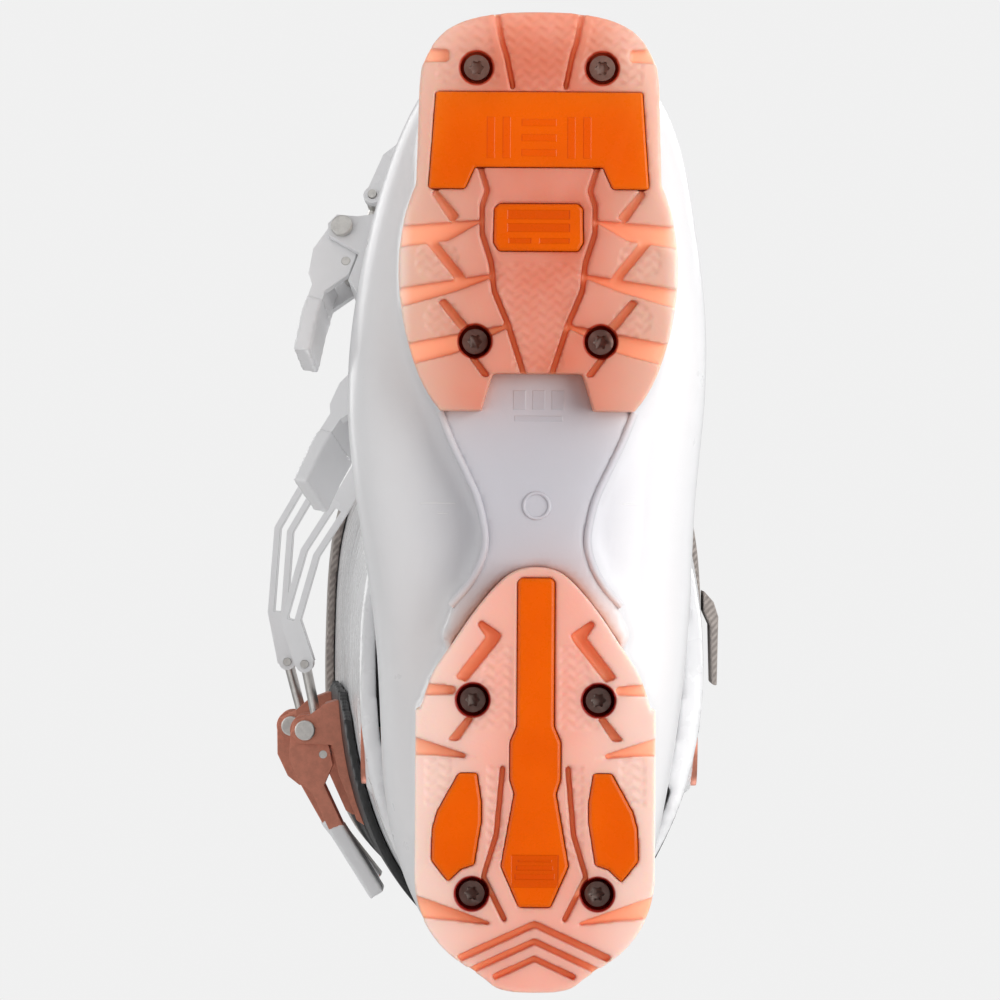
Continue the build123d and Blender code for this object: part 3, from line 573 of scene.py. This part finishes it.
for side, name in ((-1, "waist_ridge_outer"), (1, "waist_ridge_inner")):
    bead(name, [(side * x * mm, y * mm, waist["height"]) for x, y in waist["ridge"]], waist["radius"])
turns = [2 * math.pi * k / waist["ringPoints"] for k in range(waist["ringPoints"])]
ring = [waist["ring"] + Vector((math.cos(turn), math.sin(turn), 0)) * waist["ringRadius"] for turn in turns]
bead("waist_ring", ring, waist["ringBead"], True)

stage("soft goods")
liner = {
    # voxel, swelling of the quilting, filling, seams
    "liner_shaft": (3.0 * mm, 1.6 * mm, 0.7, 5),
    "liner_tongue": (2.0 * mm, 1.2 * mm, 0.8, 4),
    "liner_foot": (4.0 * mm, 0.6 * mm, 0.7, 3),
}


def quilted(node, voxel, swell, fill, seams):
    # a padded piece that bulges between level seams
    piece = moulded(node, voxel, 3, "_quilted")
    low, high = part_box(node)
    for vertex in piece.data.vertices:
        height = (vertex.co.z - low.z) / (high.z - low.z)
        puff = abs(math.sin(math.pi * height * seams))
        vertex.co += vertex.normal * (swell * (math.sqrt(puff) - 0.7))


for node, padding in liner.items():
    quilted(node, *padding)
moulded("power_strap", 1.2 * mm, 2, "_woven")
bevelled("strap_end", 0.6 * mm, 2)
bevelled("pull_loop", 0.4 * mm, 2)

stage("metalwork")
buckleEdges = {
    "lever": 0.5 * mm, "base": 0.5 * mm, "bail": 0.5 * mm, "adjuster": 0.5 * mm, "hinge_pin": 0.4 * mm,
}
for node in sorted(nodes):
    kind = node.split("_buckle_")[-1]
    if kind in buckleEdges:
        bevelled(node, buckleEdges[kind], 2)

grip = {"start": 0.56, "skin": 0.55 * mm, "voxel": 0.7 * mm, "passes": 4}


def gripCover(label, joint):
    # a white rounded cover over the free end of a lever
    hinge = Vector(joint["pos_m"])
    axis = Vector(joint["axis"]).normalized()
    piece = copyOf(label + "_buckle_lever", label + "_grip_cover")
    work = bmesh.new()
    work.from_mesh(piece.data)
    tip = max((vertex.co - hinge for vertex in work.verts), key=lambda arm: arm.length)
    way = (tip - axis * tip.dot(axis)).normalized()
    cut = hinge + way * tip.length * grip["start"]
    bmesh.ops.bisect_plane(work, geom=work.verts[:] + work.edges[:] + work.faces[:], plane_co=cut,
                           plane_no=way, clear_inner=True)
    bmesh.ops.holes_fill(work, edges=[edge for edge in work.edges if edge.is_boundary])
    bmesh.ops.recalc_face_normals(work, faces=work.faces[:])
    for vertex in work.verts:
        vertex.co += vertex.normal * grip["skin"]
    work.to_mesh(piece.data)
    work.free()
    remeshed(piece, grip["voxel"], grip["passes"])
    dressed(piece, finishes["lever_white"], label + "_lever")


for label in ("toe", "instep", "lower_cuff", "upper_cuff"):
    gripCover(label, joints[label + "_lever_open"])
for node in ("ankle_pivot_outer", "ankle_pivot_inner"):
    bevelled(node, 0.3 * mm, 2)
for node in ("toe_sole_screws", "heel_sole_screws", "overlay_screws"):
    bevelled(node, 0.3 * mm, 2)

for node, solid in nodes.items():
    if not solid.hide_render:
        solid.data.materials.clear()
        solid.data.materials.append(finishOf(node))

stage("studio")
studio = {
    "floorSize": 6.0, "floorGap": 0.6 * mm, "air": 0.36, "backdrop": 0.875,
    "lens": 186.3, "eye": (-0.0107, -0.0004, -1.5), "roll": math.radians(-0.35),
}
softboxes = {
    # place, target, width and height, watts
    "keyRight": ((1.2, -0.2, -1.1), (0, 0, 0.06), (1.2, 1.4), 17.5),
    "fillLeft": ((-1.3, 0.2, -0.9), (0, 0, 0.06), (1.2, 1.2), 4.5),
    "topRight": ((1.4, -1.2, 2.0), (0, 0, 0.12), (1.4, 1.4), 34),
    "topLeft": ((-1.6, -0.6, 1.4), (0, 0, 0.15), (1.4, 1.4), 12),
    "back": ((0.4, 1.8, 1.5), (0, 0, 0.15), (1.4, 1.2), 12),
}


def oneSidedFloor():
    # white paper that is clear from below
    mesh = bpy.data.meshes.new("studioFloor")
    work = bmesh.new()
    bmesh.ops.create_grid(work, x_segments=1, y_segments=1, size=studio["floorSize"] / 2)
    work.to_mesh(mesh)
    work.free()
    floor = linked("studioFloor", mesh)
    f = Finish("floorPaper", Roughness=0.8)
    spot, _ = f.place()
    f.feed("Base Color", f.mix(f.noise(spot, 3.0, 2.0), (0.78, 0.78, 0.78), (0.82, 0.82, 0.82)))
    under = f.node("ShaderNodeNewGeometry", out="Backfacing")
    clear = f.node("ShaderNodeBsdfTransparent")
    paper = Value(f.tree, f.shader.outputs[0])
    both = f.node("ShaderNodeMixShader", {}, {0: under, 1: paper, 2: clear})
    f.tree.links.new(both.socket, f.tree.nodes["Material Output"].inputs["Surface"])
    mesh.materials.append(f.material)
    floor.location.z = -studio["floorGap"]
    floor.visible_shadow = False


def softbox(name, place, target, size, power):
    lamp = bpy.data.lights.new(name, "AREA")
    lamp.shape = "RECTANGLE"
    lamp.size, lamp.size_y = size
    lamp.energy = power
    holder = linked(name, lamp)
    holder.location = place
    holder.rotation_euler = (Vector(target) - Vector(place)).to_track_quat("-Z", "Y").to_euler()


def studioAir():
    # the backdrop that the camera sees, and the softer light that reaches the boot
    world = bpy.data.worlds.new("studioAir")
    world.use_nodes = True
    tree = world.node_tree
    background = tree.nodes["Background"]
    background.inputs[0].default_value = (1, 1, 1, 1)
    seen = addNode(tree, "ShaderNodeLightPath", out="Is Camera Ray")
    level = addNode(tree, "ShaderNodeMapRange", {},
                    {"Value": seen, "To Min": studio["air"], "To Max": studio["backdrop"]}, "Result")
    tree.links.new(level.socket, background.inputs[1])
    bpy.context.scene.world = world


oneSidedFloor()
for name, box in softboxes.items():
    softbox(name, *box)
studioAir()
bpy.context.scene.view_settings.view_transform = "Standard"
camera = linked("camera", bpy.data.cameras.new("camera"))
camera.data.lens = studio["lens"]
camera.location = studio["eye"]
camera.rotation_euler = (math.pi, 0, studio["roll"])
bpy.context.scene.camera = camera

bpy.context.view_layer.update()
stage("done")
